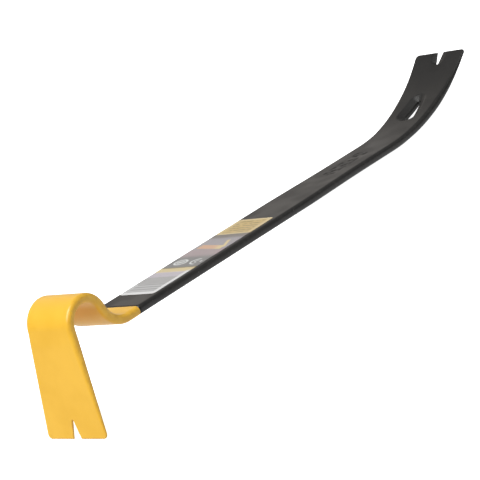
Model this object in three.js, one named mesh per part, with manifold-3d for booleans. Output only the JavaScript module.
// A one-piece forged pry bar: a hooked claw at one end, a flat shank, and an upturned flat claw at
// the other end. The forging carries two coats of finish and a printed label.
//
// Millimetres, +Z up. +X is across the bar and +Y runs from the hooked claw to the flat claw.
// The bar stands as it lies on a bench: on the tip of the hooked claw and on the heel of the flat
// claw's bend. The origin is at the middle of the lowest level of its box.
//
// The bar is described along the middle surface of its steel. Station s is the distance along that
// surface from the tip of the hooked claw; x is across, and n is square to the surface, with +n on
// the outside of the hook and on the top of the shank.

import * as THREE from 'three';
import { mergeVertices } from 'three/addons/utils/BufferGeometryUtils.js';
import Module from 'manifold-3d';

// ---- The run of the bar -------------------------------------------------------------------------
const LEG_LENGTH = 80.8;          // straight leg of the hooked claw
const LEG_LEAN = 7;               // degrees, tip splayed away from the shank
const CREST_RADIUS = 17;          // middle radius of the hook's crest
const SLOPE_ANGLE = 71.5;         // degrees, fall of the gooseneck from the crest
const SLOPE_LENGTH = 3.8;         // straight part of that fall
const VALLEY_RADIUS = 22;         // middle radius where the gooseneck meets the shank
const SHANK_LENGTH = 346.5;       // straight flat shank
const HEAD_RADIUS = 193;          // slow upward bend of the flat claw
const HEAD_ANGLE = 36.4;          // degrees, rise of the flat claw
const HEAD_STRAIGHT = 9.5;        // straight end of the flat claw

// ---- The steel's section ------------------------------------------------------------------------
const STOCK_WIDTH = 44.45;        // 1 3/4 in flat stock
const STOCK_THICKNESS = 6.35;     // 1/4 in
const EDGE_RADIUS = 2.8;          // rounded long edges
const THIN_EDGE_SHARE = 0.9;      // share of the half thickness that the rounding may take
const TIP_THICKNESS = 1.0;        // chisel edge of both claws
const TIP_CORNER_RADIUS = 3.5;    // corners of both chisel edges, seen flat

const CLAW_WIDTH = 60;            // hooked claw at its tip
const CLAW_FLARE_LENGTH = 79;     // stretch over which it narrows evenly to the stock
const CLAW_TAPER_LENGTH = 70;     // wedge of the hooked claw
const WAIST_WIDTH = 39.8;         // narrowest place, just before the flat claw
const WAIST_START = 138.5;        // before the end of the shank
const WAIST_END = 43;             // before the end of the shank
const HEAD_FLARE_LENGTH = 110;    // stretch over which the flat claw widens
const HEAD_WIDTH = 52.3;          // flat claw at its tip
const HEAD_FLARE_POWER = 1.06;    // how late the flat claw widens
const HEAD_TAPER_LENGTH = 58;     // wedge of the flat claw

// ---- Nail slots and nail hole, as drops: two circles and their tangents ------------------------
// at is the distance of a circle's centre from its own tip, beyond which a slot's wide end lies.
// rim is how far the bevel stands back from the drop, and depth is its share of the thickness.
const CLAW_SLOT = { narrow: { at: 13.2, radius: 1.4 }, wide: { at: -25, radius: 10 }, rim: 2.5, depth: 0.45 };
const HEAD_SLOT = { narrow: { at: 11.5, radius: 1.4 }, wide: { at: -25, radius: 7.2 }, rim: 6.4, depth: 0.7 };
const NAIL_HOLE = { narrow: { at: 57.2, radius: 2.3 }, wide: { at: 76.4, radius: 4.9 }, rim: 6.4, depth: 0.46 };
const BEVEL_BACKSET = 0.8;        // share of the rim by which a slot's bevel stops short of its end

// ---- Finish and label ---------------------------------------------------------------------------
const UNDER_COAT = 0.1;           // clearance between the steel and its coats
const BLACK_COAT = 0.2;           // black coat on the shank and the flat claw
const YELLOW_COAT = 0.35;         // thicker yellow coat on the hooked claw
const PAINT_LINE = 11;            // where the coats meet, after the start of the shank
const PAINT_GAP = 0.3;            // between the two coats

const LABEL_START = 34;           // after the start of the shank
const LABEL_LENGTH = 148;
const LABEL_WIDTH = 36.8;
const LABEL_OFFSET = -0.8;        // the label sits a little to one side
const LABEL_CORNER = 3;
const LABEL_CLEARANCE = 0.1;      // under each layer of the label
const ADHESIVE_THICKNESS = 0.08;
const FILM_THICKNESS = 0.15;

// ---- Fineness of the faceted surfaces -----------------------------------------------------------
const CORNER_STEPS = 3;           // facets on each rounded long edge
const TIP_CORNER_STEPS = 4;       // facets on each corner of a chisel edge
const TIGHT_BEND_STEP = 7.5;      // degrees a facet, crest and valley
const HEAD_BEND_STEP = 2.5;       // degrees a facet, flat claw
const DROP_STEPS = 6;             // facets on each half turn of a drop
const OVERSHOOT = 0.3;            // share of the thickness by which a bevel's cutter stands proud
const CUTTER_REACH = 1;           // how far a cutter runs out of the bar's other face
const BIG = 700;                  // larger than the bar

const { degToRad, clamp, lerp, smoothstep } = THREE.MathUtils;

const wasm = await Module();
wasm.setup();

// ---- Middle surface -----------------------------------------------------------------------------
function bend(radius, degrees, step) {
  return { length: radius * degToRad(Math.abs(degrees)), turn: degToRad(degrees), step: degToRad(step) };
}

function straight(length) {
  return { length, turn: 0, step: 0 };
}

const SEGMENTS = [
  straight(LEG_LENGTH),
  bend(CREST_RADIUS, -(90 - LEG_LEAN + SLOPE_ANGLE), TIGHT_BEND_STEP),
  straight(SLOPE_LENGTH),
  bend(VALLEY_RADIUS, SLOPE_ANGLE, TIGHT_BEND_STEP),
  straight(SHANK_LENGTH),
  bend(HEAD_RADIUS, HEAD_ANGLE, HEAD_BEND_STEP),
  straight(HEAD_STRAIGHT),
];
const SHANK_SEGMENT = 4;

// A point d along a segment that starts at place, with the heading there.
function along(place, segment, d) {
  const turned = segment.turn * d / segment.length;
  const chord = turned === 0 ? d : 2 * d / turned * Math.sin(turned / 2);
  const direction = place.heading + turned / 2;
  return {
    y: place.y + chord * Math.cos(direction),
    z: place.z + chord * Math.sin(direction),
    heading: place.heading + turned,
  };
}

let reached = { y: 0, z: 0, heading: degToRad(90 - LEG_LEAN) };
let travelled = 0;
for (const segment of SEGMENTS) {
  segment.start = travelled;
  segment.place = reached;
  reached = along(reached, segment, segment.length);
  travelled += segment.length;
}
const BAR_LENGTH = travelled;
const SHANK_START = SEGMENTS[SHANK_SEGMENT].start;
const SHANK_END = SHANK_START + SHANK_LENGTH;
const SHANK_PLACE = SEGMENTS[SHANK_SEGMENT].place;

// Middle surface at station s, with the start of the shank at y = z = 0. It runs on straight past
// both tips.
function middle(s) {
  let segment = SEGMENTS[0];
  for (const next of SEGMENTS) {
    if (s >= next.start) {
      segment = next;
    }
  }
  const place = along(segment.place, segment, s - segment.start);
  return { y: place.y - SHANK_PLACE.y, z: place.z - SHANK_PLACE.z, heading: place.heading };
}

function fromSurface(x, s, n) {
  const { y, z, heading } = middle(s);
  return [x, y - n * Math.sin(heading), z + n * Math.cos(heading)];
}

// ---- Section of the steel -----------------------------------------------------------------------
function halfWidth(s) {
  const flare = Math.max(0, 1 - s / CLAW_FLARE_LENGTH);
  const waist = smoothstep(s, SHANK_END - WAIST_START, SHANK_END - WAIST_END);
  const head = Math.max(0, 1 - (BAR_LENGTH - s) / HEAD_FLARE_LENGTH);
  const claw = lerp(STOCK_WIDTH, CLAW_WIDTH, flare);
  const shank = lerp(claw, WAIST_WIDTH, waist);
  return lerp(shank, HEAD_WIDTH, head ** HEAD_FLARE_POWER) / 2;
}

function halfThickness(s) {
  const claw = clamp(s / CLAW_TAPER_LENGTH, 0, 1);
  const head = clamp((BAR_LENGTH - s) / HEAD_TAPER_LENGTH, 0, 1);
  return lerp(TIP_THICKNESS, STOCK_THICKNESS, Math.min(claw, head)) / 2;
}

// How far a tip's rounded corner draws the side in, at distance d from the tip.
function cornerDraw(d, radius) {
  const short = Math.max(0, radius - d);
  return radius - Math.sqrt(Math.max(0, radius * radius - short * short));
}

// Outline of the bar's section at station s, grown by offset, as points [x, n].
function section(s, offset) {
  const t = halfThickness(s) + offset;
  const r = Math.min(EDGE_RADIUS, THIN_EDGE_SHARE * halfThickness(s)) + offset;
  const fromTip = Math.min(s, BAR_LENGTH - s) + offset;
  const w = halfWidth(s) + offset - cornerDraw(fromTip, TIP_CORNER_RADIUS + offset);
  const points = [];
  for (let corner = 0; corner < 4; corner += 1) {
    const right = corner === 0 || corner === 3 ? 1 : -1;
    const top = corner < 2 ? 1 : -1;
    for (let i = 0; i <= CORNER_STEPS; i += 1) {
      const angle = (corner + i / CORNER_STEPS) * Math.PI / 2;
      points.push([right * (w - r) + r * Math.cos(angle), top * (t - r) + r * Math.sin(angle)]);
    }
  }
  return points;
}

// Stations where the surface changes: round the tips' corners, along the waist, at the ends of the
// flares and tapers, and at every step of a bend.
function stations(offset) {
  const list = [];
  const tip = TIP_CORNER_RADIUS + offset;
  for (let i = 0; i <= TIP_CORNER_STEPS; i += 1) {
    const d = tip * (1 - Math.cos(i / TIP_CORNER_STEPS * Math.PI / 2)) - offset;
    list.push(d, BAR_LENGTH - d);
  }
  const waistSteps = 6;
  for (let i = 0; i <= waistSteps; i += 1) {
    list.push(SHANK_END - lerp(WAIST_START, WAIST_END, i / waistSteps));
  }
  list.push(CLAW_TAPER_LENGTH / 3, CLAW_TAPER_LENGTH * 2 / 3, CLAW_TAPER_LENGTH, CLAW_FLARE_LENGTH);
  list.push(SHANK_START + SHANK_LENGTH / 3, BAR_LENGTH - HEAD_TAPER_LENGTH);
  for (const segment of SEGMENTS) {
    const steps = segment.step ? Math.ceil(Math.abs(segment.turn) / segment.step) : 1;
    for (let i = segment.start > 0 ? 0 : 1; i < steps; i += 1) {
      list.push(segment.start + segment.length * i / steps);
    }
  }
  list.sort((a, b) => a - b);
  return list.filter((s, i) => i === 0 || s - list[i - 1] > 0.05);
}

// ---- Closed solids ------------------------------------------------------------------------------
// Joins rings of points, all of one count, into a closed solid with flat ends.
function loft(rings) {
  const count = rings[0].length;
  const index = [];
  for (let k = 0; k + 1 < rings.length; k += 1) {
    for (let i = 0; i < count; i += 1) {
      const a = k * count + i;
      const b = k * count + (i + 1) % count;
      index.push(a, b, b + count, a, b + count, a + count);
    }
  }
  const last = (rings.length - 1) * count;
  for (let i = 1; i + 1 < count; i += 1) {
    index.push(0, i + 1, i, last, last + i, last + i + 1);
  }
  const geometry = new THREE.BufferGeometry();
  geometry.setAttribute('position', new THREE.Float32BufferAttribute(rings.flat(2), 3));
  geometry.setIndex(index);
  return facingOut(geometry);
}

function facingOut(geometry) {
  const position = geometry.getAttribute('position');
  const index = geometry.getIndex().array;
  const [a, b, c] = [new THREE.Vector3(), new THREE.Vector3(), new THREE.Vector3()];
  let volume = 0;
  for (let i = 0; i < index.length; i += 3) {
    a.fromBufferAttribute(position, index[i]);
    b.fromBufferAttribute(position, index[i + 1]);
    c.fromBufferAttribute(position, index[i + 2]);
    volume += a.dot(b.cross(c));
  }
  if (volume < 0) {
    index.reverse();
  }
  return geometry;
}

function toSolid(geometry) {
  const bare = geometry.clone();
  bare.deleteAttribute('normal');
  bare.deleteAttribute('uv');
  const merged = mergeVertices(bare);
  return new wasm.Manifold(new wasm.Mesh({
    numProp: 3,
    vertProperties: merged.getAttribute('position').array,
    triVerts: Uint32Array.from(merged.getIndex().array),
  }));
}

function toGeometry(solid) {
  const { vertProperties, triVerts } = solid.getMesh();
  const geometry = new THREE.BufferGeometry();
  geometry.setAttribute('position', new THREE.BufferAttribute(vertProperties, 3));
  geometry.setIndex(new THREE.BufferAttribute(triVerts, 1));
  geometry.computeVertexNormals();
  return geometry;
}

// ---- Bar, slots and hole ------------------------------------------------------------------------
// Outline of a drop as points [x, distance from tip]: the two circles' outer arcs, joined by
// their common tangents.
function dropOutline(narrow, wide) {
  const towards = Math.sign(wide.at - narrow.at);
  const lean = Math.asin((wide.radius - narrow.radius) / Math.abs(wide.at - narrow.at));
  const points = [];
  for (const { at, radius, from, to } of [
    { ...wide, from: -lean, to: Math.PI + lean },
    { ...narrow, from: Math.PI + lean, to: 2 * Math.PI - lean },
  ]) {
    for (let i = 0; i <= DROP_STEPS; i += 1) {
      const angle = lerp(from, to, i / DROP_STEPS);
      points.push([radius * Math.cos(angle), at + towards * radius * Math.sin(angle)]);
    }
  }
  return points;
}

// A cutter for one slot or hole: straight through the bar, and opening out as a bevel towards one
// face. tip is 'claw' or 'head', and side is +1 for a bevel on the outer face and -1 for the inner.
function dropCutter(drop, tip, side, offset) {
  const isSlot = drop.wide.at < 0;
  const levels = [
    { grow: 0, height: (t) => -t - offset - CUTTER_REACH },
    { grow: 0, height: (t) => t * (1 - 2 * drop.depth) + offset },
    { grow: drop.rim * (1 + OVERSHOOT / drop.depth), height: (t) => t * (1 + 2 * OVERSHOOT) + offset },
  ];
  const rings = levels.map(({ grow, height }) => {
    const backset = isSlot ? grow * BEVEL_BACKSET : 0;
    const narrow = { at: drop.narrow.at - backset, radius: drop.narrow.radius + grow - offset };
    const wide = { at: drop.wide.at, radius: drop.wide.radius + grow - offset };
    return dropOutline(narrow, wide).map(([x, at]) => {
      const s = tip === 'claw' ? at : BAR_LENGTH - at;
      return fromSurface(x, s, side * height(halfThickness(s)));
    });
  });
  return toSolid(loft(rings));
}

// The whole bar with its slots and hole, its surface grown outwards by offset.
function barSolid(offset) {
  const rings = stations(offset).map((s) => section(s, offset).map(([x, n]) => fromSurface(x, s, n)));
  return toSolid(loft(rings))
    .subtract(dropCutter(CLAW_SLOT, 'claw', -1, offset))
    .subtract(dropCutter(HEAD_SLOT, 'head', 1, offset))
    .subtract(dropCutter(NAIL_HOLE, 'head', 1, offset));
}

// A coat: the layer of the given thickness over the steel, on one side of the paint line.
function coatSolid(thickness, hooked) {
  const layer = barSolid(UNDER_COAT + thickness).subtract(barSolid(UNDER_COAT));
  const edge = PAINT_LINE + (hooked ? -PAINT_GAP : PAINT_GAP) / 2;
  const half = new THREE.BoxGeometry(BIG, BIG, BIG);
  half.translate(0, edge + (hooked ? -BIG : BIG) / 2, 0);
  return layer.intersect(toSolid(half));
}

// ---- Label --------------------------------------------------------------------------------------
function labelLayer(bottom, thickness) {
  const x = LABEL_WIDTH / 2 - LABEL_CORNER;
  const y = LABEL_LENGTH / 2 - LABEL_CORNER;
  const outline = new THREE.Shape();
  outline.absarc(x, y, LABEL_CORNER, 0, Math.PI / 2);
  outline.absarc(-x, y, LABEL_CORNER, Math.PI / 2, Math.PI);
  outline.absarc(-x, -y, LABEL_CORNER, Math.PI, 1.5 * Math.PI);
  outline.absarc(x, -y, LABEL_CORNER, 1.5 * Math.PI, 2 * Math.PI);
  const geometry = new THREE.ExtrudeGeometry(outline, {
    depth: thickness,
    bevelEnabled: false,
    curveSegments: 4,
  });
  geometry.translate(LABEL_OFFSET, LABEL_START + LABEL_LENGTH / 2, bottom);
  return geometry;
}

// ---- The object ---------------------------------------------------------------------------------
function named(name, geometry, color, roughness, metalness) {
  const material = new THREE.MeshStandardMaterial({ color, roughness, metalness });
  const mesh = new THREE.Mesh(geometry, material);
  mesh.name = name;
  return mesh;
}

const shankTop = STOCK_THICKNESS / 2 + UNDER_COAT + BLACK_COAT;
const adhesiveBottom = shankTop + LABEL_CLEARANCE;
const filmBottom = adhesiveBottom + ADHESIVE_THICKNESS + LABEL_CLEARANCE;

const bar = new THREE.Group();
bar.add(
  named('forged_bar', toGeometry(barSolid(0)), 0x8d8f92, 0.42, 1.0),
  named('black_coat', toGeometry(coatSolid(BLACK_COAT, false)), 0x2e2d2b, 0.38, 0.0),
  named('yellow_coat', toGeometry(coatSolid(YELLOW_COAT, true)), 0xf4b41a, 0.35, 0.0),
  named('label_adhesive', labelLayer(adhesiveBottom, ADHESIVE_THICKNESS), 0xd8d4c4, 0.6, 0.0),
  named('label_film', labelLayer(filmBottom, FILM_THICKNESS), 0xb9b3ac, 0.3, 0.0),
);

// The bar tips down towards the flat claw until the inner corner of the hooked claw's tip and the
// underside of the flat claw's bend stand on one level.
const coatedTip = middle(-UNDER_COAT - YELLOW_COAT);
const tipReach = TIP_THICKNESS / 2 + UNDER_COAT + YELLOW_COAT;
const tipY = coatedTip.y + tipReach * Math.sin(coatedTip.heading);
const tipZ = coatedTip.z - tipReach * Math.cos(coatedTip.heading);
const heelRadius = HEAD_RADIUS + shankTop;
const acrossY = SHANK_LENGTH - tipY;
const acrossZ = HEAD_RADIUS - tipZ;
const restTilt = Math.atan2(acrossZ, acrossY) - Math.asin(heelRadius / Math.hypot(acrossY, acrossZ));
bar.rotation.x = -restTilt;

const object = new THREE.Group();
object.add(bar);
object.updateMatrixWorld(true);
const box = new THREE.Box3().setFromObject(object, true);
bar.position.set(0, -(box.min.y + box.max.y) / 2, -box.min.z);

export default object;
